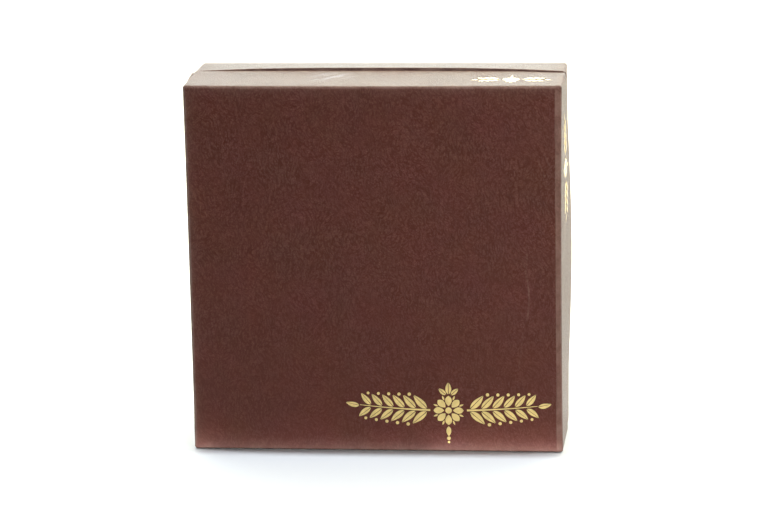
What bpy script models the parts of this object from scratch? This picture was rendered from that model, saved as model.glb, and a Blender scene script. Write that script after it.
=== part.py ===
"""A shut gift box, standing on edge.

It is a two-piece rigid box of the kind that holds four small filled cakes: greyboard trays wrapped
in grained leatherette paper.  The lid is the deeper front half, and the base is the shallower rear
half.  Both trays meet rim to rim, and the box can't be seen into, so each half is solid.

The front panel faces -Y, the top of the box is +Z, and the origin is the middle of its foot.
The free rims of the trays have bowed outwards a little between their corners, as warped board does.
"""
import bmesh
import bpy
from mathutils import Vector

# Driving dimensions, in metres
FACE_WIDTH = 0.152
FACE_HEIGHT = 0.152
LID_DEPTH = 0.033
BASE_DEPTH = 0.0197
RIM_GAP = 0.0003

# How far the walls have moved at their free rims
SIDE_SPLAY = 0.00065
SIDE_BOW = 0.0017
BASE_TOP_BOW = 0.0014
BASE_SIDE_SPLAY = 0.0003
BASE_SHIFT = 0.00035
PANEL_DRAW_IN = 0.0002

# Rounding of the wrapped board edges
PANEL_EDGE_RADIUS = 0.0012
WALL_CORNER_RADIUS = 0.0009
RIM_EDGE_RADIUS = 0.0003
EDGE_SEGMENTS = 3

# Number of straight steps that follow a bowed wall between two corners
WALL_STEPS = 16

LEATHERETTE_BROWN = (0.088, 0.035, 0.027, 1.0)
BASE_BROWN = (0.080, 0.033, 0.026, 1.0)
LEATHERETTE_ROUGHNESS = 0.45

DEPTH = LID_DEPTH + RIM_GAP + BASE_DEPTH
FRONT_Y = -DEPTH / 2
LID_RIM_Y = FRONT_Y + LID_DEPTH
BASE_RIM_Y = LID_RIM_Y + RIM_GAP
BACK_Y = DEPTH / 2


def clear_scene():
    for thing in list(bpy.data.objects):
        bpy.data.objects.remove(thing, do_unlink=True)


def box_collection():
    collection = bpy.data.collections.new("gift_box")
    bpy.context.scene.collection.children.link(collection)
    return collection


def leatherette(name, colour):
    material = bpy.data.materials.new(name)
    material.use_nodes = True
    shader = material.node_tree.nodes["Principled BSDF"]
    shader.inputs["Base Color"].default_value = colour
    shader.inputs["Roughness"].default_value = LEATHERETTE_ROUGHNESS
    shader.inputs["Metallic"].default_value = 0.0
    return material


def flat_topped(share):
    """A bow that is full over most of the wall and drops near its corners."""
    return 1.0 - abs(share) ** 3


def peaked(share):
    """A bow that is fullest at mid-wall and eases off evenly to both corners."""
    return max(0.0, 1.0 - share * share) ** 1.8


def shallow(share):
    """A plain arc from corner to corner."""
    return 1.0 - share * share


def rim_offset(x, z, sides, side_profile, top, top_profile):
    """How far a point of the square outline moves: sides is (splay, bow), top is the top wall's bow."""
    half_width = FACE_WIDTH / 2
    across = x / half_width
    up = (z - FACE_HEIGHT / 2) / (FACE_HEIGHT / 2)
    move = Vector((0.0, 0.0, 0.0))
    splay, bow = sides
    if abs(across) > 0.999:
        outwards = 1.0 if x > 0 else -1.0
        move.x = outwards * (splay + bow * side_profile(up))
    if up > 0.999:
        move.z = top * top_profile(across)
        if abs(across) <= 0.999:
            move.x = across * splay
    return move


def half_box(name, near_y, far_y, near_offset, far_offset, near_radius, far_radius):
    """A square block between two planes, whose two outlines are moved before its edges are rounded."""
    bm = bmesh.new()
    bmesh.ops.create_cube(bm, size=1.0)
    bmesh.ops.scale(bm, vec=(FACE_WIDTH, far_y - near_y, FACE_HEIGHT), verts=bm.verts)
    bmesh.ops.translate(bm, vec=(0.0, (near_y + far_y) / 2, FACE_HEIGHT / 2), verts=bm.verts)

    along_outline = [edge for edge in bm.edges if abs(edge.verts[0].co.y - edge.verts[1].co.y) < 1e-6]
    bmesh.ops.subdivide_edges(bm, edges=along_outline, cuts=WALL_STEPS - 1)

    weight = bm.edges.layers.float.new("bevel_weight_edge")
    widest = max(PANEL_EDGE_RADIUS, WALL_CORNER_RADIUS, RIM_EDGE_RADIUS)
    mid_y = (near_y + far_y) / 2
    for edge in bm.edges:
        first, second = edge.verts
        if abs(first.co.y - second.co.y) < 1e-6:
            edge[weight] = (near_radius if first.co.y < mid_y else far_radius) / widest
        elif abs(first.co.x) > FACE_WIDTH / 2 - 1e-6 and min(first.co.z, FACE_HEIGHT - first.co.z) < 1e-6:
            edge[weight] = WALL_CORNER_RADIUS / widest

    for vert in bm.verts:
        offset = near_offset if vert.co.y < mid_y else far_offset
        vert.co += offset(vert.co.x, vert.co.z)
    bmesh.ops.recalc_face_normals(bm, faces=bm.faces)

    mesh = bpy.data.meshes.new(name)
    bm.to_mesh(mesh)
    bm.free()
    half = bpy.data.objects.new(name, mesh)

    rounding = half.modifiers.new("rounded_edges", "BEVEL")
    rounding.limit_method = "WEIGHT"
    rounding.width = widest
    rounding.segments = EDGE_SEGMENTS
    return half


def front_panel_outline(x, z):
    """The panel's left, right and top edges are drawn in slightly by the wrap."""
    return -rim_offset(x, z, (0.0, PANEL_DRAW_IN), shallow, PANEL_DRAW_IN, shallow)


def lid_rim_outline(x, z):
    return rim_offset(x, z, (SIDE_SPLAY, SIDE_BOW), peaked, 0.0, flat_topped)


def base_rim_outline(x, z):
    return rim_offset(x, z, (BASE_SIDE_SPLAY, SIDE_BOW), peaked, BASE_TOP_BOW, flat_topped)


def back_panel_outline(x, z):
    return Vector((0.0, 0.0, 0.0))


def finish(half, material, collection):
    half.data.materials.append(material)
    half.data.shade_smooth()
    half.data.set_sharp_from_angle(angle=0.6)
    collection.objects.link(half)


def main():
    clear_scene()
    collection = box_collection()

    lid = half_box("lid", FRONT_Y, LID_RIM_Y, front_panel_outline, lid_rim_outline,
                   PANEL_EDGE_RADIUS, RIM_EDGE_RADIUS)
    finish(lid, leatherette("lid_leatherette", LEATHERETTE_BROWN), collection)

    base = half_box("base", BASE_RIM_Y, BACK_Y, base_rim_outline, back_panel_outline,
                    RIM_EDGE_RADIUS, PANEL_EDGE_RADIUS)
    base.location.x = BASE_SHIFT
    finish(base, leatherette("base_leatherette", BASE_BROWN), collection)


main()
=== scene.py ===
"""The looks of a shut gift box: board halves wrapped in grained leatherette, with gold foil ornaments.

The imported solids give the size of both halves.  Lengths are in metres where nothing else is said,
+Z is up, and the front panel faces -Y.
"""

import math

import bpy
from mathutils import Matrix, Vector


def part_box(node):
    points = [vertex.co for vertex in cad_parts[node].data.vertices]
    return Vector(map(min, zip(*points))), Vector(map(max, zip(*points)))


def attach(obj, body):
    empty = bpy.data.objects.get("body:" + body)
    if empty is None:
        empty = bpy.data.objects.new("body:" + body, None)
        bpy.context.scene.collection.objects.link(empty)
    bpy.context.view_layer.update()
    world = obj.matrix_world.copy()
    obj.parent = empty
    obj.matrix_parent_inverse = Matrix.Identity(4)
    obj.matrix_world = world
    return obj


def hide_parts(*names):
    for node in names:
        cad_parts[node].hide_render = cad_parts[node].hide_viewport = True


bl_info = {
    "name": "Gift Box",
    "version": (1, 0, 0),
    "blender": (4, 5, 0),
    "location": "View3D > Sidebar > Gift Box",
    "description": "Builds a shut, leatherette-wrapped gift box with foil ornaments",
    "category": "Add Mesh",
}

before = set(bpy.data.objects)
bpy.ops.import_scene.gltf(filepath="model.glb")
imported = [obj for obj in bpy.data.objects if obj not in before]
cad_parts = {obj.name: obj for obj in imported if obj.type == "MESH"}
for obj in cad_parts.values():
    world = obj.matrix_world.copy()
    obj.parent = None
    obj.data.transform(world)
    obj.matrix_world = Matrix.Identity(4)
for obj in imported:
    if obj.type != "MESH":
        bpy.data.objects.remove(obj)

LID_LOW, LID_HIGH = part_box("lid")
BASE_LOW, BASE_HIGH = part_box("base")
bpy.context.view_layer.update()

FACE_SIDE = LID_HIGH.z - LID_LOW.z
HALF_FACE = FACE_SIDE / 2
FRONT_Y = LID_LOW.y
LID_RIM_Y = LID_HIGH.y
BASE_RIM_Y = BASE_LOW.y
BACK_Y = BASE_HIGH.y
SIDE_REACH = LID_HIGH.x - HALF_FACE
TOP_BOW = BASE_HIGH.z - LID_HIGH.z
BASE_SHIFT = (BASE_LOW.x + BASE_HIGH.x) / 2
TINY = 1e-6
MM = 0.001

# Where the bows peak, as shares of half the panel: leftwards on top, upwards at the sides
TOP_BOW_SHIFT = 0.12
SIDE_BOW_SHIFT = 0.067

# How pale the wrap is made where a turned edge is 1, and how fast that fades beside an edge: partly
# rubbed wrap and partly painted highlight; on the pressed strip it is painted highlight, on the base's
# rim face painted light
PRESSED_STRIP_HIGHLIGHT = 0.8
RIM_PAINTED_LIGHT = 2.4
WEAR_AND_HIGHLIGHT_BESIDE = 0.8
WEAR_AND_HIGHLIGHT_REACH = 0.0016

# Slow waves in the board, and the angle up to which faces are shaded smooth
WAVE_LENGTH = 0.03
SMOOTH_ANGLE = 0.6

# The side sheets: the lap that has sprung open, how deep their edges sink, and their thickness
LAP_DEPTH = 0.018
LAP_HEIGHT = 0.005
SHEET_SINK = 0.0001
SHEET_WALL = 0.0004

# The scuff on the lid's top wall: its centre and radii in millimetres, and the slant of its strokes
SCUFF_X, SCUFF_DEPTH = -18.5, 20.5
SCUFF_RADII = (4.0, 12.0)
SCUFF_SLANT = 0.95
SCUFF_STRENGTH = 0.42

# Long wrinkles on the front panel: x and z (mm), length (mm), lean, bow (1/m) and strength
WRINKLE_WIDTH = 0.0006
LID_WRINKLES = (
    (62.6, 67.0, 28.0, -0.04, -11.0, 0.2),
    (61.8, 80.0, 20.0, 0.05, -6.0, 0.07),
    (59.4, 44.0, 26.0, 0.12, -3.0, 0.06),
    (68.3, 117.5, 13.0, -0.38, 4.0, 0.08),
    (70.6, 121.0, 12.0, -0.42, 2.0, 0.08),
    (-54.6, 121.5, 4.0, 0.8, 0.0, 0.14),
)

# The foil: its hidden root in the wrap, its height before it is laid, and the centres of the garlands
FOIL_ROOT = 0.0001
FOIL_LIFT = 0.004
FRONT_FOIL = (29.4 * MM, FRONT_Y, 17.6 * MM)
TOP_FOIL = (55.3 * MM, FRONT_Y + 14.8 * MM, FACE_SIDE)
SIDE_FOIL = (HALF_FACE + 0.001, FRONT_Y + 17.4 * MM, 115.4 * MM)

# Places of the lights
CEILING = 1.2
FAR_FLOOR_LIGHT = (0.1, 0.62, 0.5)
SIDE_STRIP_LIGHT = (0.326, FRONT_Y - 0.433, 0.16)
SIDE_STRIP_TARGET = (0.076, FRONT_Y, 0.09)
GLOW_Y, GLOW_HEIGHT = FRONT_Y - 0.0045, 0.0003
LEFT_GLOW_SHARE = 0.16

# The camera: its place from the front panel's foot, in sides of the face, and its turns in degrees
CAMERA_PLACE = (0.8886, -8.442, 2.5601)
CAMERA_TURN, CAMERA_DROP, CAMERA_ROLL = 5.829, 13.384, -1.0455


# Settings

class GiftBoxShape(bpy.types.PropertyGroup):
    panel_edge: bpy.props.FloatProperty(
        name="Panel edge radius", description="Rounding of the wrapped board's long edges",
        default=0.0012, min=0.0002, max=0.003, unit="LENGTH")
    wall_corner: bpy.props.FloatProperty(
        name="Wall corner radius", description="Rounding of the corners where two walls meet",
        default=0.0009, min=0.0002, max=0.003, unit="LENGTH")
    rim_edge: bpy.props.FloatProperty(
        name="Rim edge radius", description="Rounding of the free rims of both halves",
        default=0.0003, min=0.0001, max=0.001, unit="LENGTH")
    side_splay: bpy.props.FloatProperty(
        name="Side splay", description="How far the lid's side walls stand out at the rim's corners",
        default=0.0003, min=0.0, max=0.002, unit="LENGTH")
    base_draw_in: bpy.props.FloatProperty(
        name="Base draw-in", description="How far the base's right wall stands in at its corners",
        default=0.0004, min=0.0, max=0.001, unit="LENGTH")
    lid_top_bow: bpy.props.FloatProperty(
        name="Lid top bow", description="How far the lid's top wall rises at the middle of its rim",
        default=0.00042, min=0.0, max=0.001, unit="LENGTH")
    panel_draw_in: bpy.props.FloatProperty(
        name="Panel draw-in",
        description="How far the wrap pulls the middle of the front panel's edges in",
        default=0.00025, min=0.0, max=0.001, unit="LENGTH")
    right_draw_in: bpy.props.FloatProperty(
        name="Right draw-in",
        description="How far the wrap pulls the middle of the panel's right edge in",
        default=0.00045, min=0.0, max=0.001, unit="LENGTH")
    corner_sink: bpy.props.FloatProperty(
        name="Corner sink", description="How far the lid's top wall sinks at the right end of its rim",
        default=0.0005, min=0.0, max=0.001, unit="LENGTH")
    back_edge: bpy.props.FloatProperty(
        name="Back edge radius", description="Rounding of the long edges at the back of the base",
        default=0.0005, min=0.0002, max=0.003, unit="LENGTH")
    foot_draw_in: bpy.props.FloatProperty(
        name="Foot draw-in",
        description="How far the front panel is drawn in at each of its lower corners",
        default=0.0003, min=0.0, max=0.001, unit="LENGTH")
    pressed_edge: bpy.props.FloatProperty(
        name="Pressed edge", description="How far the front panel is pressed back along its right edge",
        default=0.0006, min=0.0, max=0.001, unit="LENGTH")
    rolled_edge: bpy.props.FloatProperty(
        name="Rolled edge", description="How far the front panel rolls back along its other edges",
        default=0.00015, min=0.0, max=0.001, unit="LENGTH")
    pressed_corner: bpy.props.FloatProperty(
        name="Pressed corner radius", description="Rounding on both sides of the pressed edge",
        default=0.0004, min=0.0001, max=0.002, unit="LENGTH")
    base_top_rise: bpy.props.FloatProperty(
        name="Base top rise",
        description="How much further than its board the wrap of the base's top rim stands up",
        default=0.00008, min=0.0, max=0.0005, unit="LENGTH")
    unevenness: bpy.props.FloatProperty(
        name="Board unevenness", description="Depth of the slow waves in the wrapped board",
        default=0.00012, min=0.0, max=0.001, unit="LENGTH")
    face_steps: bpy.props.IntProperty(
        name="Face steps", description="Mesh steps along each side of the square",
        default=64, min=16, max=160)
    depth_steps: bpy.props.IntProperty(
        name="Depth steps", description="Mesh steps through the depth of a wall",
        default=12, min=2, max=40)
    flap_thickness: bpy.props.FloatProperty(
        name="Wrap thickness",
        description="How far the side sheets stand off the walls they cover",
        default=0.00018, min=0.00005, max=0.0005, unit="LENGTH")
    sprung_lap: bpy.props.FloatProperty(
        name="Sprung lap", description="How far the side sheets have sprung open at the top of the rim",
        default=0.00075, min=0.0, max=0.002, unit="LENGTH")


class GiftBoxFinish(bpy.types.PropertyGroup):
    brown: bpy.props.FloatVectorProperty(
        name="Leatherette brown", description="Main colour of the wrap", subtype="COLOR",
        size=4, default=(0.091, 0.0232, 0.0140, 1.0), min=0.0, max=1.0)
    roughness: bpy.props.FloatProperty(
        name="Leatherette roughness", description="Roughness of the wrap's satin coating",
        default=0.42, min=0.0, max=1.0)
    ior: bpy.props.FloatProperty(
        name="Leatherette IOR", description="Refraction index of the wrap's coating",
        default=1.26, min=1.0, max=2.0)
    sheen: bpy.props.FloatProperty(
        name="Leatherette sheen", description="Pale bloom of the wrap when seen at a flat angle",
        default=0.2, min=0.0, max=1.0)
    grain_pitch: bpy.props.FloatProperty(
        name="Grain pitch", description="Distance between the creases of the embossed grain",
        default=0.00122, min=0.0005, max=0.006, unit="LENGTH")
    grain_depth: bpy.props.FloatProperty(
        name="Grain depth", description="Relief of the embossed grain",
        default=0.00014, min=0.0, max=0.001, unit="LENGTH")
    # The edges' paleness is partly rubbed wrap and partly painted highlight
    edge_wear: bpy.props.FloatProperty(
        name="Edge wear", description="How much the wrap is rubbed pale along the edges",
        default=0.36, min=0.0, max=1.0)
    # Pale colour for the edges: partly rubbed wrap, partly painted highlight and painted light
    worn_and_highlight: bpy.props.FloatVectorProperty(
        name="Worn colour", description="Colour of the wrap where it is rubbed", subtype="COLOR",
        size=4, default=(0.38, 0.25, 0.2, 1.0), min=0.0, max=1.0)
    foil: bpy.props.FloatVectorProperty(
        name="Foil gold", description="Colour of the stamped foil", subtype="COLOR",
        size=4, default=(0.77, 0.56, 0.20, 1.0), min=0.0, max=1.0)
    foil_roughness: bpy.props.FloatProperty(
        name="Foil roughness", description="Roughness of the stamped foil",
        default=0.38, min=0.0, max=1.0)
    foil_lacquer: bpy.props.FloatProperty(
        name="Foil lacquer", description="How much clear lacquer lies over the foil",
        default=1.0, min=0.0, max=1.0)
    scuff: bpy.props.FloatVectorProperty(
        name="Scuff colour", description="Colour of the scuff on the lid's top wall", subtype="COLOR",
        size=4, default=(0.36, 0.33, 0.37, 1.0), min=0.0, max=1.0)


class GiftBoxFoil(bpy.types.PropertyGroup):
    front_length: bpy.props.FloatProperty(
        name="Front garland length", description="Length of the garland on the front panel",
        default=0.084, min=0.03, max=0.14, unit="LENGTH")
    top_length: bpy.props.FloatProperty(
        name="Top garland length", description="Length of the garland on the lid's top wall",
        default=0.0326, min=0.01, max=0.06, unit="LENGTH")
    side_length: bpy.props.FloatProperty(
        name="Side garland length", description="Length of the garland on the lid's right wall",
        default=0.0447, min=0.01, max=0.08, unit="LENGTH")
    relief: bpy.props.FloatProperty(
        name="Foil relief", description="How far the foil stands above the wrap",
        default=0.00006, min=0.00001, max=0.0003, unit="LENGTH")


class GiftBoxStage(bpy.types.PropertyGroup):
    focal_length: bpy.props.FloatProperty(
        name="Focal length", description="Camera focal length in millimetres for a 36 mm frame",
        default=153.75, min=20.0, max=400.0)
    overhead: bpy.props.FloatProperty(
        name="Overhead strip", description="Power of the narrow strip right over the front panel",
        default=13.7, min=0.0, max=200.0, unit="POWER")
    overhead_back: bpy.props.FloatProperty(
        name="Overhead back light", description="Power of the wide light over and behind the box",
        default=4.5, min=0.0, max=200.0, unit="POWER")
    far_floor: bpy.props.FloatProperty(
        name="Far floor light", description="Power of the light on the floor behind the box",
        default=5.7, min=0.0, max=200.0, unit="POWER")
    side_strip: bpy.props.FloatProperty(
        name="Side strip", description="Power of the tall light in front of the box, at its right",
        default=1.5, min=0.0, max=50.0, unit="POWER")
    foot_glow: bpy.props.FloatProperty(
        name="Foot glow", description="Power of the low strip that lights the foot of the front panel",
        default=0.0101, min=0.0, max=1.0, unit="POWER")
    foot_corner_glow: bpy.props.FloatProperty(
        name="Foot corner glow",
        description="Power of the strip at the front panel's lower right corner",
        default=0.0034, min=0.0, max=1.0, unit="POWER")
    back_surround: bpy.props.FloatProperty(
        name="Back surround", description="Brightness of the white surround behind the box",
        default=4.4, min=0.0, max=10.0)
    front_surround: bpy.props.FloatProperty(
        name="Front surround", description="Brightness of the room in front of the box",
        default=0.24, min=0.0, max=10.0)
    daylight: bpy.props.FloatVectorProperty(
        name="Daylight", description="Tint of the surround behind the box", subtype="COLOR",
        size=3, default=(0.89, 1.0, 0.98), min=0.0, max=1.0)
    dusk: bpy.props.FloatVectorProperty(
        name="Dusk", description="Tint of the dim room in front of the box", subtype="COLOR",
        size=3, default=(0.05, 0.56, 1.0), min=0.0, max=1.0)
    cool_light: bpy.props.FloatVectorProperty(
        name="Cool light", description="Tint of the overhead strip and the low strips", subtype="COLOR",
        size=3, default=(0.89, 0.95, 1.0), min=0.0, max=1.0)
    warm_light: bpy.props.FloatVectorProperty(
        name="Warm light", description="Tint of the lights behind the box", subtype="COLOR",
        size=3, default=(0.95, 0.81, 0.48), min=0.0, max=1.0)
    side_light: bpy.props.FloatVectorProperty(
        name="Side light", description="Tint of the tall light at the right", subtype="COLOR",
        size=3, default=(1.0, 0.97, 0.88), min=0.0, max=1.0)


# Mesh helpers

def deselect_all():
    if bpy.context.object and bpy.context.object.mode != "OBJECT":
        bpy.ops.object.mode_set(mode="OBJECT")
    bpy.ops.object.select_all(action="DESELECT")


def make_active(piece):
    deselect_all()
    piece.select_set(True)
    bpy.context.view_layer.objects.active = piece


def apply_place(piece):
    make_active(piece)
    bpy.ops.object.transform_apply(location=True, rotation=True, scale=True)


def apply_modifiers(piece):
    make_active(piece)
    for modifier in list(piece.modifiers):
        bpy.ops.object.modifier_apply(modifier=modifier.name)


def select_elements(piece, kind, wanted):
    """In object mode: selects only the vertices, edges or faces that wanted() accepts."""
    mesh = piece.data
    for group in (mesh.vertices, mesh.edges, mesh.polygons):
        group.foreach_set("select", [False] * len(group))
    for element in getattr(mesh, kind):
        element.select = wanted(element)


def choose_select_mode(piece, mode):
    make_active(piece)
    bpy.ops.object.mode_set(mode="EDIT")
    bpy.ops.mesh.select_mode(type=mode)
    bpy.ops.object.mode_set(mode="OBJECT")


def in_edit_mode(piece, operator, **options):
    make_active(piece)
    bpy.ops.object.mode_set(mode="EDIT")
    operator(**options)
    bpy.ops.object.mode_set(mode="OBJECT")


def ends(mesh, edge):
    return mesh.vertices[edge.vertices[0]].co, mesh.vertices[edge.vertices[1]].co


def push(piece, name, axis, distance, weight, texture=None):
    """Will move vertices along an axis by a distance times their weight, evenly or by a texture."""
    group = piece.vertex_groups.new(name=name)
    for vertex in piece.data.vertices:
        value = weight(vertex.co)
        if value > 0.0:
            group.add([vertex.index], value, "REPLACE")
    modifier = piece.modifiers.new(name, "DISPLACE")
    modifier.vertex_group = name
    modifier.direction = axis
    modifier.strength = distance
    modifier.mid_level = 0.5 if texture else 0.0
    if texture:
        modifier.texture = texture
        modifier.texture_coords = "LOCAL"


def smooth(piece):
    make_active(piece)
    bpy.ops.object.shade_smooth_by_angle(angle=SMOOTH_ANGLE)


def mark_edges(piece, panel_y, rim_y, pressed_from=None):
    """Stores the pale marks: rubbed wrap and painted highlight, full on turned edges and fading beside
    them, and painted light on the base's rim face.

    The lid's front panel gets a painted highlight beyond pressed_from too, where its pressed strip
    starts.
    """
    mesh = piece.data
    # This layer holds rubbed wrap and painted highlight on the edges, and painted light on the base's
    # rim face
    wear = mesh.attributes.new("edge_wear", "FLOAT", "POINT")
    for vertex in mesh.vertices:
        x, y, z = vertex.co
        from_side = HALF_FACE - abs(x)
        on_panel = abs(vertex.normal.y) > 0.9 and abs(y - panel_y) < abs(y - rim_y)
        if on_panel and pressed_from is not None:
            from_side = HALF_FACE + x
        from_end = HALF_FACE - abs(z - HALF_FACE)
        inwards = sorted((from_side, from_end, abs(y - panel_y), abs(y - rim_y)))[1]
        value = WEAR_AND_HIGHLIGHT_BESIDE * math.exp(-max(0.0, inwards) / WEAR_AND_HIGHLIGHT_REACH)
        # Turned edges are pale: partly rubbed wrap, partly painted highlight
        if max(abs(part) for part in vertex.normal) < 0.95:
            value = 1.0
        # Painted highlight on the pressed strip along the front panel's right edge
        if on_panel and pressed_from is not None and x > pressed_from:
            value = PRESSED_STRIP_HIGHLIGHT
        # Painted light on the base's rim face, seen in the gap above the lid
        if abs(y - rim_y) < TINY and panel_y == BACK_Y:
            value = RIM_PAINTED_LIGHT
        wear.data[vertex.index].value = value


# Bow profiles: 1 in the middle of a panel, 0 at its ends

def flat_topped(share):
    return max(0.0, 1.0 - abs(share) ** 3)


def peaked(share):
    return max(0.0, 1.0 - share * share) ** 1.8


def shallow(share):
    return max(0.0, 1.0 - share * share)


def up_share(point):
    """-1 at the foot, 1 at the top."""
    return (point.z - HALF_FACE) / HALF_FACE


def side_bow(point):
    return peaked(up_share(point) - SIDE_BOW_SHIFT)


def across_share(point, sign):
    """0 in the middle and beyond it, 1 at the side that the sign names."""
    return max(0.0, sign * point.x / HALF_FACE)


def near_top(point):
    return max(0.0, up_share(point)) ** 6


# Materials

class Graph:
    """A short way to add nodes to a material or a world and link them."""

    def __init__(self, owner):
        owner.use_nodes = True
        self.owner = owner
        self.nodes = owner.node_tree.nodes
        self.shader = self.nodes.get("Principled BSDF")

    def add(self, kind, inputs=None, **settings):
        node = self.nodes.new("ShaderNode" + kind)
        for key, value in settings.items():
            setattr(node, key, value)
        for key, value in (inputs or {}).items():
            self.feed(value, node.inputs[key])
        return node

    def feed(self, value, socket):
        if isinstance(value, bpy.types.NodeSocket):
            self.owner.node_tree.links.new(value, socket)
        else:
            socket.default_value = value

    def math(self, operation, first, second=0.0):
        return self.add("Math", {0: first, 1: second}, operation=operation).outputs[0]

    def product(self, first, *others):
        for other in others:
            first = self.math("MULTIPLY", first, other)
        return first

    def vector(self, operation, first, second):
        return self.add("VectorMath", {0: first, 1: second}, operation=operation).outputs["Vector"]

    def fit(self, value, low, high, to_low, to_high, **settings):
        """Maps a range to another, and holds it at the ends."""
        inputs = {
            "Value": value, "From Min": low, "From Max": high, "To Min": to_low, "To Max": to_high}
        return self.add("MapRange", inputs, **settings).outputs["Result"]

    def noise(self, vector, scale, detail=2.0, output="Fac"):
        node = self.add("TexNoise", {"Vector": vector, "Scale": scale, "Detail": detail})
        return node.outputs[output]

    def mix(self, share, first, second, kind="RGBA"):
        inputs = {"Factor": share, "A": first, "B": second}
        return self.add("Mix", inputs, data_type=kind).outputs["Result"]

    def drawn_out(self, vector, axis, angle, scale):
        """Turns a pattern about an axis, and stretches it along its own directions."""
        turned = self.add("VectorRotate", {"Vector": vector, "Axis": axis, "Angle": angle})
        drawn = self.add("Mapping", {"Vector": turned.outputs["Vector"], "Scale": scale})
        return drawn.outputs["Vector"]


def wrinkle_mark(g, place, x, z, length, lean, bow):
    """1 along one long wrinkle up the front panel, fading to 0 beside it and past its ends."""
    here = g.add("SeparateXYZ", {"Vector": place})
    up = g.math("SUBTRACT", here.outputs["Z"], z)
    curve = g.math("ADD", g.product(up, lean), g.product(up, up, bow))
    off = g.math("ABSOLUTE", g.math("SUBTRACT", g.math("SUBTRACT", here.outputs["X"], x), curve))
    across = g.fit(off, 0.0, WRINKLE_WIDTH, 1.0, 0.0)
    along = g.fit(g.math("ABSOLUTE", up), 0.2 * length, 0.5 * length, 1.0, 0.0)
    on_panel = g.fit(here.outputs["Y"], FRONT_Y + 0.001, FRONT_Y + 0.002, 1.0, 0.0)
    return g.product(across, along, on_panel)


def scuff_mark(g, place):
    """0 to 1 in the scuff on the lid's top wall: short strokes slanting over a round patch."""
    centre = (SCUFF_X * MM, FRONT_Y + SCUFF_DEPTH * MM, FACE_SIDE)
    moved = g.vector("SUBTRACT", place, centre)
    distance = g.add("VectorMath", {0: moved}, operation="LENGTH").outputs["Value"]
    patch = g.fit(distance, SCUFF_RADII[0] * MM, SCUFF_RADII[1] * MM, 1.0, 0.0)
    drawn = g.drawn_out(moved, (0.0, 0.0, 1.0), -SCUFF_SLANT, (0.2, 1.0, 1.0))
    return g.product(patch, g.fit(g.noise(drawn, 280.0), 0.46, 0.62, 0.1, 1.0))


def lid_marks(g, place, cells, colour):
    """Lays the scuff and the long wrinkles over the lid's colour."""
    finish = bpy.context.scene.gift_box_finish
    colour = g.mix(g.product(scuff_mark(g, place), SCUFF_STRENGTH), colour, tuple(finish.scuff))
    creased = 0.0
    for x, z, length, lean, bow, strength in LID_WRINKLES:
        wrinkle = wrinkle_mark(g, place, x * MM, z * MM, length * MM, lean, bow)
        creased = g.math("ADD", creased, g.product(wrinkle, strength))
    broken = g.fit(g.noise(place, 0.8 * cells, 1.0), 0.4, 0.6, 0.3, 1.0)
    return g.mix(g.product(creased, broken), colour, tuple(finish.worn_and_highlight))


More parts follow.
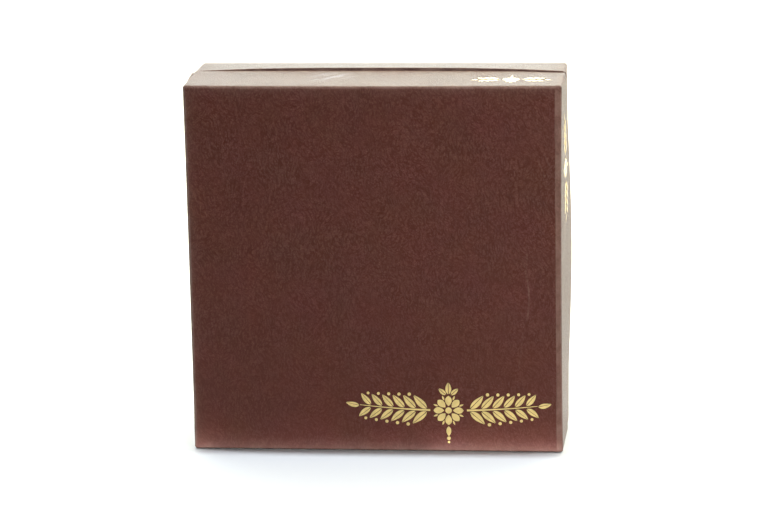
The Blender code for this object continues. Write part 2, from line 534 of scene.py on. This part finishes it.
def leatherette(name, shade, marked=False):
    """Brown paper embossed like calf: fine creases, pores and slow patches, paler where rubbed and
    where a highlight is painted on the edges; the creases' darker tone is partly painted shade and the
    ridges' pale lift painted gloss.
    """
    finish = bpy.context.scene.gift_box_finish
    g = Graph(bpy.data.materials.new(name))
    place = g.add("TexCoord").outputs["Object"]
    cells = 1.0 / finish.grain_pitch

    def strokes(angle, length, scale):
        """Short creases up the front panel, leaning by an angle: 0 in a crease, 1 beside it."""
        drawn = g.drawn_out(bent, (0.0, 1.0, 0.0), angle, (1.0, 0.7, 1.0 / length))
        rise = g.noise(drawn, scale * cells, 1.0)
        return g.fit(g.math("ABSOLUTE", g.math("SUBTRACT", rise, 0.5)), 0.0, 0.11, 0.0, 1.0)

    def areas(scale, low, high):
        """1 in some areas of the wrap and 0 in the others."""
        return g.fit(g.noise(place, scale * cells, 1.0), low, high, 0.0, 1.0)

    bend = g.vector("SUBTRACT", g.noise(place, 0.13 * cells, 1.0, "Color"), (0.5, 0.5, 0.5))
    bend = g.add("VectorMath", {0: bend, "Scale": 4.0 * finish.grain_pitch}, operation="SCALE")
    bent = g.vector("ADD", place, bend.outputs["Vector"])

    creases = g.mix(
        areas(0.07, 0.47, 0.56), strokes(0.12, 2.6, 1.05), strokes(0.55, 2.3, 1.15), "FLOAT")
    creases = g.mix(areas(0.09, 0.57, 0.64), creases, strokes(-0.45, 2.1, 1.1), "FLOAT")
    cross = strokes(1.3, 1.6, 1.3)
    pores = g.noise(place, 2.4 * cells)
    from_foot = g.add("SeparateXYZ", {"Vector": place}).outputs["Z"]
    depth = g.product(
        g.fit(g.noise(place, 0.12 * cells), 0.36, 0.62, 0.84, 1.04),
        g.fit(from_foot, 0.01, 0.09, 0.56, 1.0))

    height = g.math("ADD", g.product(creases, 0.7), g.product(cross, 0.3))
    height = g.product(g.math("ADD", height, g.product(pores, 0.6)), depth)
    bump = g.add("Bump", {"Height": height, "Strength": 1.0, "Distance": finish.grain_depth})
    g.feed(bump.outputs["Normal"], g.shader.inputs["Normal"])

    brown = [channel * shade for channel in finish.brown[:3]]
    # The grain's tones are partly the wrap's own and partly painted: the darker crease colour is
    # painted shade, the neutral lift of the lighter colour is painted gloss
    dark = (*[0.77 * channel - 0.0122 for channel in brown], 1.0)
    light = (*[1.31 * channel + 0.0162 for channel in brown], 1.0)
    skin = g.product(
        g.fit(creases, 0.0, 1.0, 0.15, 1.0),
        g.fit(cross, 0.0, 1.0, 0.6, 1.0),
        g.fit(pores, 0.3, 0.7, 0.45, 1.55))
    patches = g.fit(g.noise(place, 0.05 * cells, 3.0), 0.3, 0.7, 0.64, 0.69)
    colour = g.mix(g.product(g.mix(depth, 0.62, skin, "FLOAT"), patches), dark, light)
    cloudy = g.noise(place, 0.07 * cells, 2.0, "Color")
    tint = g.vector("ADD", g.vector("MULTIPLY", cloudy, (0.26, 0.26, 0.46)), (0.87, 0.87, 0.77))
    colour = g.vector("MULTIPLY", colour, tint)
    if marked:
        colour = lid_marks(g, place, cells, colour)

    # Pale along the edges: partly rubbed wrap, partly painted highlight; painted highlight on the
    # pressed strip and painted light on the base's rim face
    edge = g.add("Attribute", attribute_name="edge_wear").outputs["Fac"]
    uneven = g.fit(g.noise(place, 0.25 * cells, 3.0), 0.35, 0.65, 0.5, 1.0)
    rubbed = g.product(edge, uneven, finish.edge_wear)
    gloss = g.fit(pores, 0.3, 0.7, finish.roughness - 0.05, finish.roughness + 0.08)
    for socket, value in (
            ("Base Color", g.mix(rubbed, colour, tuple(finish.worn_and_highlight))),
            ("Roughness", g.math("ADD", gloss, g.product(rubbed, 0.3))),
            ("IOR", finish.ior),
            ("Sheen Weight", finish.sheen),
            ("Sheen Roughness", 0.35),
            ("Sheen Tint", (1.0, 0.99, 0.88, 1.0))):
        g.feed(value, g.shader.inputs[socket])
    return g.owner


def stamped_foil():
    """Gold foil under a thin lacquer, duller in patches, with a little of the grain showing through."""
    finish = bpy.context.scene.gift_box_finish
    g = Graph(bpy.data.materials.new("stamped_foil"))
    place = g.add("TexCoord").outputs["Object"]
    cells = 1.0 / finish.grain_pitch
    wear = g.noise(place, 0.5 * cells, 4.0)
    dull = (*[0.82 * channel for channel in finish.foil[:3]], 1.0)
    dullest, shiniest = finish.foil_roughness + 0.08, finish.foil_roughness - 0.06
    grain = g.noise(place, 1.4 * cells, 3.0)
    bump = g.add("Bump", {"Height": grain, "Strength": 0.4, "Distance": 0.00006})
    for socket, value in (
            ("Base Color", g.mix(g.fit(wear, 0.35, 0.65, 0.0, 1.0), dull, tuple(finish.foil))),
            ("Roughness", g.fit(wear, 0.3, 0.7, dullest, shiniest)),
            ("Metallic", 1.0),
            ("Coat Weight", finish.foil_lacquer),
            ("Coat Roughness", 0.2),
            ("Normal", bump.outputs["Normal"])):
        g.feed(value, g.shader.inputs[socket])
    return g.owner


def dress(piece, material):
    piece.data.materials.clear()
    piece.data.materials.append(material)
    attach(piece, "root")


# The two halves

def stepped_block(name, panel_y, rim_y):
    """A square block with a grid on its panel and strips round its walls; its rim is one plain face."""
    shape = bpy.context.scene.gift_box_shape
    deselect_all()
    bpy.ops.mesh.primitive_cube_add(
        size=1.0, location=(0.0, (panel_y + rim_y) / 2, HALF_FACE),
        scale=(FACE_SIDE, abs(rim_y - panel_y), FACE_SIDE))
    block = bpy.context.object
    block.name = name
    block.data.name = name
    apply_place(block)

    def runs_deep(edge):
        first, second = ends(block.data, edge)
        return abs(first.y - second.y) > TINY

    def on_rim(face):
        return abs(face.normal.y) > 0.5 and abs(face.center.y - rim_y) < TINY

    choose_select_mode(block, "EDGE")
    select_elements(block, "edges", lambda edge: not runs_deep(edge))
    in_edit_mode(block, bpy.ops.mesh.subdivide, number_cuts=shape.face_steps - 1)
    select_elements(block, "edges", runs_deep)
    in_edit_mode(block, bpy.ops.mesh.subdivide, number_cuts=shape.depth_steps - 1)
    choose_select_mode(block, "FACE")
    select_elements(block, "polygons", on_rim)
    in_edit_mode(block, bpy.ops.mesh.dissolve_faces)
    return block


def pressed_strip_start():
    """Where the front panel's pressed strip begins: one mesh step from its right edge."""
    return HALF_FACE - FACE_SIDE / bpy.context.scene.gift_box_shape.face_steps


def weigh_edges(block, panel_y, rim_y):
    """Writes the outer edges' bevel weights: panel edges, wall corners and rims differ in radius."""
    shape = bpy.context.scene.gift_box_shape
    widest = max(shape.panel_edge, shape.wall_corner, shape.rim_edge, shape.pressed_corner)
    pressed = panel_y == FRONT_Y
    mesh = block.data
    weights = mesh.attributes.new("bevel_weight_edge", "FLOAT", "EDGE")

    def outer(point):
        return HALF_FACE - abs(point.x) < TINY or HALF_FACE - abs(point.z - HALF_FACE) < TINY

    def corner(point):
        return HALF_FACE - abs(point.x) < TINY and HALF_FACE - abs(point.z - HALF_FACE) < TINY

    for edge in mesh.edges:
        first, second = ends(mesh, edge)
        middle = (first + second) / 2
        on_panel = abs(first.y - panel_y) < TINY and abs(second.y - panel_y) < TINY
        upright = abs(first.x - second.x) < TINY
        radius = 0.0
        if pressed and on_panel and upright and middle.x > pressed_strip_start() - TINY:
            radius = shape.pressed_corner
        elif abs(first.y - second.y) < TINY and outer(middle) and outer(first) and outer(second):
            if on_panel:
                radius = shape.panel_edge if pressed else shape.back_edge
            elif abs(first.y - rim_y) < TINY:
                radius = shape.rim_edge
        elif abs(first.y - second.y) > TINY and corner(first):
            radius = shape.wall_corner
        weights.data[edge.index].value = radius / widest
    return widest


def round_and_wave(half, panel_y, width):
    """Rounds the weighted edges, then waves the board in the middle of the panel."""
    rounding = half.modifiers.new("rounded_edges", "BEVEL")
    rounding.limit_method = "WEIGHT"
    rounding.width = width
    rounding.segments = 4
    apply_modifiers(half)

    def in_middle(point):
        if abs(point.y - panel_y) > TINY:
            return 0.0
        return min(1.0, 4.0 * shallow(point.x / HALF_FACE)) * min(1.0, 4.0 * shallow(up_share(point)))

    waves = bpy.data.textures.new("board_waves", "CLOUDS")
    waves.noise_scale = WAVE_LENGTH
    waves.noise_depth = 2
    waves.noise_basis = "ORIGINAL_PERLIN"
    push(half, "board_waves", "Y", bpy.context.scene.gift_box_shape.unevenness, in_middle, waves)
    apply_modifiers(half)


class GIFTBOX_OT_lid(bpy.types.Operator):
    """Builds the lid: the deep front half, wrapped in leatherette"""
    bl_idname = "giftbox.lid"
    bl_label = "Lid"

    def execute(self, context):
        shape = context.scene.gift_box_shape
        lid = stepped_block("lid_wrap", FRONT_Y, LID_RIM_Y)
        width = weigh_edges(lid, FRONT_Y, LID_RIM_Y)
        splay = shape.side_splay / SIDE_REACH

        def depth_share(point):
            return (point.y - FRONT_Y) / (LID_RIM_Y - FRONT_Y)

        def panel_share(point):
            return 1.0 - depth_share(point)

        def on_panel_edge(point):
            inwards = min(HALF_FACE - abs(point.x), HALF_FACE - abs(point.z - HALF_FACE))
            return point.y - FRONT_Y < TINY and inwards < TINY

        def pressed(point):
            return 1.0 if on_panel_edge(point) and HALF_FACE - point.x < TINY else 0.0

        def rolled(point):
            return 1.0 if on_panel_edge(point) and not pressed(point) else 0.0

        def bowed(sign):
            def weight(point):
                bow = splay + (1.0 - splay) * side_bow(point)
                return depth_share(point) * across_share(point, sign) * bow
            return weight

        def drawn(sign):
            def weight(point):
                return panel_share(point) * across_share(point, sign) ** 6 * shallow(up_share(point))
            return weight

        def footed(sign):
            def weight(point):
                return panel_share(point) * across_share(point, sign) * (1.0 - up_share(point)) / 2
            return weight

        def top_drawn(point):
            return panel_share(point) * near_top(point) * shallow(point.x / HALF_FACE)

        def top_bowed(point):
            bow = shallow(point.x / HALF_FACE + TOP_BOW_SHIFT)
            return depth_share(point) ** 2 * near_top(point) * bow

        def right_end(point):
            return depth_share(point) ** 4 * near_top(point) * max(0.0, 4.0 * point.x / HALF_FACE - 3.0)

        for name, sign, draw_in in (
                ("right_wall", 1.0, shape.right_draw_in), ("left_wall", -1.0, shape.panel_draw_in)):
            push(lid, name, "X", sign * SIDE_REACH, bowed(sign))
            push(lid, name + "_drawn", "X", -sign * draw_in, drawn(sign))
            push(lid, name + "_foot", "X", -sign * shape.foot_draw_in, footed(sign))
        push(lid, "top_drawn", "Z", -shape.panel_draw_in, top_drawn)
        push(lid, "top_rim", "Z", shape.lid_top_bow, top_bowed)
        push(lid, "rim_corner", "Z", -shape.corner_sink, right_end)
        push(lid, "right_edge", "Y", shape.pressed_edge, pressed)
        push(lid, "other_edges", "Y", shape.rolled_edge, rolled)
        round_and_wave(lid, FRONT_Y, width)
        mark_edges(lid, FRONT_Y, LID_RIM_Y, pressed_strip_start() - shape.right_draw_in / 2)
        smooth(lid)
        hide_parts("lid")
        dress(lid, leatherette("lid_leatherette", 1.0, marked=True))
        return {"FINISHED"}


class GIFTBOX_OT_base(bpy.types.Operator):
    """Builds the base: the shallow rear half, whose free rim bows out above the lid"""
    bl_idname = "giftbox.base"
    bl_label = "Base"

    def execute(self, context):
        shape = context.scene.gift_box_shape
        base = stepped_block("base_wrap", BACK_Y, BASE_RIM_Y)
        width = weigh_edges(base, BACK_Y, BASE_RIM_Y)
        reach = (BASE_HIGH.x - BASE_LOW.x) / 2 - HALF_FACE

        def rim_share(point):
            return (BACK_Y - point.y) / (BACK_Y - BASE_RIM_Y)

        def bowed(sign):
            def weight(point):
                return rim_share(point) * across_share(point, sign) * side_bow(point)
            return weight

        def right_corners(point):
            return across_share(point, 1.0) * (1.0 - peaked(up_share(point)))

        def top_bowed(point):
            return rim_share(point) * near_top(point) * flat_topped(point.x / HALF_FACE)

        push(base, "right_wall", "X", reach, bowed(1.0))
        push(base, "left_wall", "X", -reach, bowed(-1.0))
        push(base, "right_corners", "X", -shape.base_draw_in, right_corners)
        push(base, "top_wall", "Z", TOP_BOW + shape.base_top_rise, top_bowed)
        round_and_wave(base, BACK_Y, width)
        base.location.x = BASE_SHIFT
        apply_place(base)
        mark_edges(base, BACK_Y, BASE_RIM_Y)
        smooth(base)
        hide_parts("base")
        # The base's copy of the leatherette is made 5% darker than the lid's: painted shade
        dress(base, leatherette("base_leatherette", 0.95))
        return {"FINISHED"}


# Side sheets

class GIFTBOX_OT_side_sheets(bpy.types.Operator):
    """Lays the wrap's side sheets over the lid and the base, lapping at the corners"""
    bl_idname = "giftbox.side_sheets"
    bl_label = "Side sheets"

    def execute(self, context):
        lid, base = bpy.data.objects["lid_wrap"], bpy.data.objects["base_wrap"]
        sprung = context.scene.gift_box_shape.sprung_lap
        for half, panel_y, rim_y, opening in (
                (lid, FRONT_Y, LID_RIM_Y, sprung),
                (base, BACK_Y, BASE_RIM_Y, 0.4 * sprung)):
            for side, sign in (("right", 1.0), ("left", -1.0)):
                name = half.name.split("_")[0] + "_" + side + "_sheet"
                sheet = side_sheet(half, name, sign, panel_y, rim_y, opening)
                dress(sheet, half.data.materials[0])
        return {"FINISHED"}


def side_sheet(half, name, sign, panel_y, rim_y, opening):
    """Copies one side wall's flat part off a half, and stands it off by the thickness of the wrap."""
    shape = bpy.context.scene.gift_box_shape
    sheet = bpy.data.objects.new(name, half.data.copy())
    sheet.data.name = name
    bpy.context.scene.collection.objects.link(sheet)

    def elsewhere(face):
        return sign * face.normal.x < 0.97 or abs(up_share(face.center)) > 0.995

    choose_select_mode(sheet, "FACE")
    select_elements(sheet, "polygons", elsewhere)
    in_edit_mode(sheet, bpy.ops.mesh.delete, type="FACE")
    depths = [abs(vertex.co.y - panel_y) for vertex in sheet.data.vertices]
    first, last = min(depths), max(depths)

    def standing(point):
        depth = abs(point.y - panel_y)
        return 0.0 if depth - first < TINY or last - depth < TINY else 1.0

    def lift(point):
        """The lap has sprung open at the top, towards the rim."""
        at_rim = max(0.0, 1.0 - abs(point.y - rim_y) / LAP_DEPTH) ** 0.5
        at_top = max(0.0, 1.0 - (1.0 - up_share(point)) * HALF_FACE / LAP_HEIGHT)
        return at_rim * at_top * standing(point)

    push(sheet, "thickness", "X", sign * (shape.flap_thickness + SHEET_SINK), standing)
    push(sheet, "sprung", "X", sign * opening, lift)
    push(sheet, "sunk", "X", -sign * SHEET_SINK, lambda point: 1.0)
    wall = sheet.modifiers.new("wall", "SOLIDIFY")
    wall.thickness = SHEET_WALL
    wall.offset = -1.0
    apply_modifiers(sheet)
    smooth(sheet)
    return sheet


# Foil ornaments, drawn flat on the ground in millimetres, then scaled and laid on their walls

def flat_disc(radius, x=0.0, y=0.0, corners=32):
    deselect_all()
    bpy.ops.mesh.primitive_circle_add(
        vertices=corners, radius=radius * MM, fill_type="NGON", location=(x * MM, y * MM, 0.0))
    apply_place(bpy.context.object)
    return bpy.context.object


def flat_leaf(length, width, slit=0.0, taper=0.0, curl=0.0):
    """A pointed leaf from the origin along +X: a slice off a wide disc, mirrored across its midrib."""
    half = width / 2
    radius = ((length / 2) ** 2 + half ** 2) / (2 * half)
    blade = flat_disc(radius, length / 2, half - radius, corners=96)
    make_active(blade)
    bpy.ops.object.mode_set(mode="EDIT")
    bpy.ops.mesh.select_all(action="SELECT")
    bpy.ops.mesh.bisect(
        plane_co=(0.0, slit / 2 * MM, 0.0), plane_no=(0.0, 1.0, 0.0), clear_inner=True, threshold=TINY)
    bpy.ops.object.mode_set(mode="OBJECT")
    mirror = blade.modifiers.new("other_half", "MIRROR")
    mirror.use_axis = (False, True, False)
    mirror.merge_threshold = 0.00001
    for method, amount in (("TAPER", taper), ("BEND", curl)):
        if amount:
            deform = blade.modifiers.new(method.lower(), "SIMPLE_DEFORM")
            deform.deform_method = method
            deform.deform_axis = "X" if method == "TAPER" else "Z"
            deform.factor = amount
    apply_modifiers(blade)
    return blade


def placed_copy(flat, x, y, degrees, size=1.0):
    """A copy of a flat shape, with its own mesh, turned and moved on the ground."""
    twin = flat.copy()
    twin.data = flat.data.copy()
    bpy.context.scene.collection.objects.link(twin)
    twin.location = (x * MM, y * MM, 0.0)
    twin.rotation_euler = (0.0, 0.0, math.radians(degrees))
    twin.scale = (size, size, size)
    apply_place(twin)
    return twin


def joined(parts, name):
    deselect_all()
    for part in parts:
        part.select_set(True)
    bpy.context.view_layer.objects.active = parts[0]
    bpy.ops.object.join()
    whole = bpy.context.object
    whole.name = name
    whole.data.name = name
    return whole


def remove(*parts):
    for part in parts:
        bpy.data.objects.remove(part)


def laurel_branch(pairs):
    """One branch along +X: a tapered stem, pairs of leaves with a midrib, berries and a tip leaf."""
    stem_start, first, step = 8.0, 9.4, 4.9
    end = first + step * pairs
    deselect_all()
    bpy.ops.mesh.primitive_grid_add(x_subdivisions=36, y_subdivisions=1, size=MM)
    stem = bpy.context.object
    stem.scale = (end - stem_start, 1.0, 1.0)
    stem.location.x = (stem_start + end) / 2 * MM
    apply_place(stem)
    thinning = stem.modifiers.new("thinning", "SIMPLE_DEFORM")
    thinning.deform_method = "TAPER"
    thinning.deform_axis = "X"
    thinning.factor = -0.6
    apply_modifiers(stem)

    blade = flat_leaf(8.4, 3.9, slit=0.34, taper=-0.45, curl=0.25)
    berry = flat_disc(0.75)
    parts = [stem]
    for index in range(pairs):
        size = 1.0 - 0.04 * index
        x = first + step * index
        for side in (1.0, -1.0):
            leaf = placed_copy(blade, 0.0, 0.0, 0.0, size)
            if side < 0.0:
                leaf.scale.y = -1.0
                apply_place(leaf)
                in_edit_mode(leaf, bpy.ops.mesh.flip_normals)
            leaf.rotation_euler.z = side * math.radians(36.0)
            leaf.location = (x * MM, side * 0.7 * MM, 0.0)
            apply_place(leaf)
            parts.append(leaf)
            if index < pairs - 1:
                parts.append(placed_copy(berry, x + 8.0 * size, side * 6.75 * size, 0.0, size))
    parts.append(placed_copy(blade, end + 0.2, -0.3, -2.0, 0.72))
    remove(blade, berry)
    branch = joined(parts, "branch")
    arch = branch.modifiers.new("arch", "SIMPLE_DEFORM")
    arch.deform_method = "BEND"
    arch.deform_axis = "Z"
    arch.factor = 0.11
    apply_modifiers(branch)
    return branch


def rosette():
    """Eight petals and eight thin sepals round a button."""
    petal = flat_leaf(4.6, 2.3, taper=0.5)
    sepal = flat_leaf(2.2, 0.8)
    parts = [flat_disc(1.4)]
    for index in range(8):
        angle = 45.0 * index
        for flat, start, turn in ((petal, 1.95, angle), (sepal, 4.9, angle + 22.5)):
            x, y = start * math.cos(math.radians(turn)), start * math.sin(math.radians(turn))
            parts.append(placed_copy(flat, x, y, turn))
    remove(petal, sepal)
    return joined(parts, "rosette")


def finial_and_drop():
    """Three leaves over the rosette, and a pointed drop with two beads under it."""
    blade = flat_leaf(5.4, 3.0, slit=0.34, taper=-0.3)
    drop = flat_leaf(4.4, 2.4, taper=-0.25)
    parts = [placed_copy(blade, 0.0, 7.2, 90.0)]
    for side in (1.0, -1.0):
        parts.append(placed_copy(blade, side * 1.1, 7.0, 90.0 - side * 48.0, 0.78))
    parts.append(placed_copy(drop, 0.0, -7.2, -90.0))
    parts += [flat_disc(0.8, 0.0, -12.6), flat_disc(0.5, 0.0, -14.3)]
    remove(blade, drop)
    return joined(parts, "finial_and_drop")


def garland(name, length, pairs, place, wall, axis):
    """Lays the ornament on a wall: place holds its right, up and outward directions and its centre."""
    foil = bpy.context.scene.gift_box_foil
    branch = laurel_branch(pairs)
    across = branch.modifiers.new("other_branch", "MIRROR")
    across.use_axis = (True, False, False)
    across.use_mirror_merge = False
    apply_modifiers(branch)
    whole = joined([branch, rosette(), finial_and_drop()], name)
    span = whole.dimensions.x
    right, up, outward, centre = (Vector(part) for part in place)
    whole.matrix_world = (
        Matrix.Translation(centre + FOIL_LIFT * outward)
        @ Matrix((right, up, outward)).transposed().to_4x4()
        @ Matrix.Scale(length / span, 4))
    apply_place(whole)

    lay = whole.modifiers.new("laid_on_wrap", "SHRINKWRAP")
    lay.target = wall
    lay.wrap_method = "PROJECT"
    setattr(lay, "use_project_" + axis, True)
    lay.use_negative_direction = True
    lay.use_positive_direction = True
    lay.wrap_mode = "ABOVE_SURFACE"
    lay.offset = foil.relief
    film = whole.modifiers.new("film", "SOLIDIFY")
    film.thickness = foil.relief + FOIL_ROOT
    film.offset = -1.0
    apply_modifiers(whole)
    dress(whole, bpy.data.materials.get("stamped_foil") or stamped_foil())


class GIFTBOX_OT_front_foil(bpy.types.Operator):
    """Stamps the large garland low on the front panel"""
    bl_idname = "giftbox.front_foil"
    bl_label = "Front foil"

    def execute(self, context):
        foil = context.scene.gift_box_foil
        place = ((1, 0, 0), (0, 0, 1), (0, -1, 0), FRONT_FOIL)
        garland("foil_front", foil.front_length, 6, place, bpy.data.objects["lid_wrap"], "y")
        return {"FINISHED"}


class GIFTBOX_OT_wall_foil(bpy.types.Operator):
    """Stamps the small garlands on the lid's top wall and right wall"""
    bl_idname = "giftbox.wall_foil"
    bl_label = "Wall foil"

    def execute(self, context):
        foil = context.scene.gift_box_foil
        top = ((-1, 0, 0), (0, -1, 0), (0, 0, 1), TOP_FOIL)
        garland("foil_top", foil.top_length, 3, top, bpy.data.objects["lid_wrap"], "z")
        side = ((0, 0, 1), (0, -1, 0), (1, 0, 0), SIDE_FOIL)
        garland("foil_side", foil.side_length, 4, side, bpy.data.objects["lid_right_sheet"], "x")
        return {"FINISHED"}


# Stage

def pale_floor_material():
    g = Graph(bpy.data.materials.new("pale_floor"))
    g.feed((0.92, 0.93, 0.95, 1.0), g.shader.inputs["Base Color"])
    g.feed(0.6, g.shader.inputs["Roughness"])
    return g.owner


def studio_world():
    """A pale surround: bright behind the box, dim in front of it, and dark over it and at its sides."""
    stage = bpy.context.scene.gift_box_stage
    world = bpy.data.worlds.new("studio")
    bpy.context.scene.world = world
    g = Graph(world)
    background = g.nodes["Background"]

    def fade(value, low, high, start=1.0, end=0.0):
        return g.fit(value, low, high, start, end, interpolation_type="SMOOTHSTEP")

    look = g.add("SeparateXYZ", {"Vector": g.add("TexCoord").outputs["Generated"]})
    front = (*[stage.front_surround * channel for channel in stage.dusk], 1.0)
    back = (*[stage.back_surround * channel for channel in stage.daylight], 1.0)
    behind = fade(look.outputs["Y"], -0.35, 0.45, 0.0, 1.0)
    g.feed(g.mix(behind, front, back), background.inputs["Color"])
    beside = fade(g.math("ABSOLUTE", look.outputs["X"]), 0.45, 0.9)
    g.feed(g.product(beside, fade(look.outputs["Z"], 0.35, 0.85)), background.inputs["Strength"])

    seen = g.add("Background", {"Color": (1.0, 1.0, 1.0, 1.0), "Strength": 1.05})
    mix = g.add("MixShader", {
        "Fac": g.add("LightPath").outputs["Is Camera Ray"],
        1: background.outputs["Background"],
        2: seen.outputs["Background"]})
    g.feed(mix.outputs["Shader"], g.nodes["World Output"].inputs["Surface"])


def soft_light(name, location, target, size, power, tint):
    lamp = bpy.data.lights.new(name, "AREA")
    lamp.shape = "RECTANGLE"
    lamp.size, lamp.size_y = size
    lamp.energy = power
    lamp.color = tint
    light = bpy.data.objects.new(name, lamp)
    light.location = location
    light.rotation_euler = (Vector(target) - Vector(location)).to_track_quat("-Z", "Y").to_euler()
    light.visible_camera = False
    bpy.context.scene.collection.objects.link(light)


def studio_lights():
    """Lights overhead, over the far floor and at the right, and low strips before the foot.

    The overhead ones run from start to end, measured back from the front panel.
    """
    stage = bpy.context.scene.gift_box_stage
    for name, start, end, power, tint in (
            ("overhead_strip", 0.0145, 0.067, stage.overhead, stage.cool_light),
            ("overhead_back", 0.07, 0.44, stage.overhead_back, stage.warm_light)):
        y = FRONT_Y + (start + end) / 2
        soft_light(name, (0.0, y, CEILING), (0.0, y, 0.0), (1.0, end - start), power, tint)
    under = (*FAR_FLOOR_LIGHT[:2], 0.0)
    soft_light("far_floor", FAR_FLOOR_LIGHT, under, (0.6, 0.2), stage.far_floor, stage.warm_light)
    soft_light(
        "side_strip", SIDE_STRIP_LIGHT, SIDE_STRIP_TARGET, (0.12, 0.4),
        stage.side_strip, stage.side_light)
    for name, x, width, power in (
            ("foot_glow", 0.0, 0.156, stage.foot_glow),
            ("left_foot_glow", -0.074, 0.01, LEFT_GLOW_SHARE * stage.foot_corner_glow),
            ("right_foot_glow", 0.05, 0.056, stage.foot_corner_glow)):
        place, over = (x, GLOW_Y, GLOW_HEIGHT), (x, GLOW_Y, 1.0)
        soft_light(name, place, over, (width, 0.008), power, stage.cool_light)


def photo_camera():
    camera_data = bpy.data.cameras.new("camera")
    camera_data.sensor_width = 36.0
    camera_data.lens = bpy.context.scene.gift_box_stage.focal_length
    camera = bpy.data.objects.new("camera", camera_data)
    bpy.context.scene.collection.objects.link(camera)
    turn = Matrix.Rotation(math.radians(CAMERA_TURN), 3, "Z")
    tilt = Matrix.Rotation(math.radians(90.0 - CAMERA_DROP), 3, "X")
    roll = Matrix.Rotation(math.radians(CAMERA_ROLL), 3, "Z")
    camera.location = Vector((0.0, FRONT_Y, 0.0)) + FACE_SIDE * Vector(CAMERA_PLACE)
    camera.rotation_euler = (turn @ tilt @ roll).to_euler()
    bpy.context.scene.camera = camera


class GIFTBOX_OT_stage(bpy.types.Operator):
    """Builds the pale floor, the soft light and the camera"""
    bl_idname = "giftbox.stage"
    bl_label = "Stage"

    def execute(self, context):
        deselect_all()
        bpy.ops.mesh.primitive_plane_add(size=4.0, location=(0.0, 0.0, 0.0))
        floor = context.object
        floor.name = "floor"
        floor.data.materials.append(pale_floor_material())
        studio_world()
        studio_lights()
        photo_camera()
        context.scene.view_settings.view_transform = "Standard"
        return {"FINISHED"}


class GIFTBOX_PT_panel(bpy.types.Panel):
    """Lists the steps that build the gift box"""
    bl_label = "Gift Box"
    bl_idname = "GIFTBOX_PT_panel"
    bl_space_type = "VIEW_3D"
    bl_region_type = "UI"
    bl_category = "Gift Box"

    def draw(self, context):
        for operator in OPERATORS:
            self.layout.operator(operator.bl_idname)


GROUPS = {
    "gift_box_shape": GiftBoxShape,
    "gift_box_finish": GiftBoxFinish,
    "gift_box_foil": GiftBoxFoil,
    "gift_box_stage": GiftBoxStage,
}
OPERATORS = (
    GIFTBOX_OT_lid, GIFTBOX_OT_base, GIFTBOX_OT_side_sheets,
    GIFTBOX_OT_front_foil, GIFTBOX_OT_wall_foil, GIFTBOX_OT_stage,
)


def register():
    for name, group in GROUPS.items():
        bpy.utils.register_class(group)
        setattr(bpy.types.Scene, name, bpy.props.PointerProperty(type=group))
    for operator in OPERATORS:
        bpy.utils.register_class(operator)
    bpy.utils.register_class(GIFTBOX_PT_panel)


def unregister():
    bpy.utils.unregister_class(GIFTBOX_PT_panel)
    for operator in reversed(OPERATORS):
        bpy.utils.unregister_class(operator)
    for name, group in GROUPS.items():
        delattr(bpy.types.Scene, name)
        bpy.utils.unregister_class(group)


def main():
    register()
    bpy.ops.giftbox.lid()
    bpy.ops.giftbox.base()
    bpy.ops.giftbox.side_sheets()
    bpy.ops.giftbox.front_foil()
    bpy.ops.giftbox.wall_foil()
    bpy.ops.giftbox.stage()


if __name__ == "__main__":
    main()
